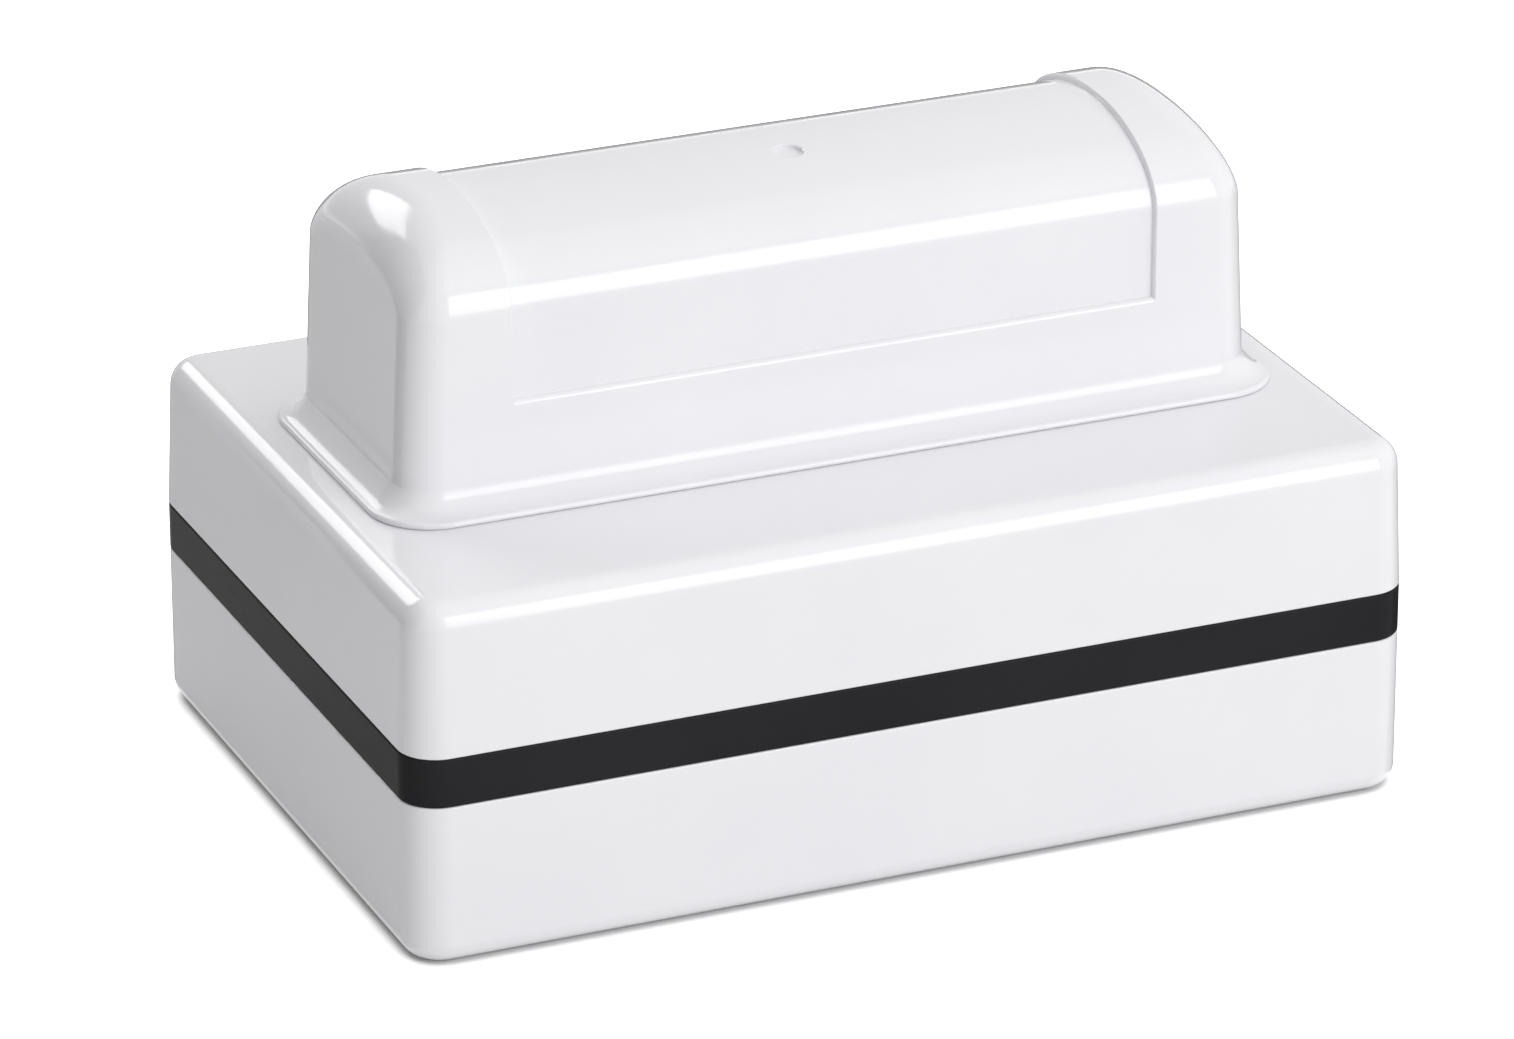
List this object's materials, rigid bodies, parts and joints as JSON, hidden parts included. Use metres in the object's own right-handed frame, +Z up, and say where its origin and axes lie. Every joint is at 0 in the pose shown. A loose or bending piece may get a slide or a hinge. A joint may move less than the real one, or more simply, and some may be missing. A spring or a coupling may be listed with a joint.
{
  "type": "pre-inked stamp",
  "caption": "Oblong pre-inked stamp with a bar handle, a colour band, a sprung skirt round an ink-holding foam die, and a pull-off dust cap.",
  "frame": {"origin": "centre of the dust cap's flat underside, on the desk", "axes": "+X along the handle, +Y to the back, +Z up; the picture is taken from the front left, -X and -Y"},
  "size_m": [0.095, 0.065, 0.0584],
  "materials": {
    "white_plastic": "glossy moulded white",
    "black_plastic": "satin moulded black",
    "dark_plastic": "fine matt moulded grain",
    "spring_wire": "drawn spring wire",
    "zinc_steel": "bright zinc plate",
    "ink_felt": "felt soaked in black ink",
    "die_foam": "fine microporous foam"
  },
  "bodies": {
    "cap": {"cap": "white_plastic"},
    "stamp": {"housing": "white_plastic", "colour_band": "black_plastic", "die_block": "dark_plastic", "block_screws": "zinc_steel", "ink_pad": "ink_felt", "stamp_die": "die_foam", "die_clamp": "dark_plastic", "return_spring_1": "spring_wire", "return_spring_2": "spring_wire", "return_spring_3": "spring_wire", "return_spring_4": "spring_wire", "stop_washers": "zinc_steel", "stop_screws": "zinc_steel"},
    "skirt": {"skirt": "dark_plastic"},
    "handle": {"handle": "white_plastic"}
  },
  "joints": [
    {"name": "stamp_lift", "type": "slide", "parent": "cap", "child": "stamp", "axis": [0, 0, 1], "range_m": [0, 0.03]},
    {"name": "skirt_press", "type": "slide", "parent": "stamp", "child": "skirt", "axis": [0, 0, 1], "range_m": [0, 0.002], "stiffness_N_per_m": 2000, "springref_m": -0.004, "deforming": ["return_spring_1", "return_spring_2", "return_spring_3", "return_spring_4"]},
    {"name": "handle_pull", "type": "slide", "parent": "stamp", "child": "handle", "axis": [0, 0, 1], "range_m": [0, 0.012]}
  ]
}
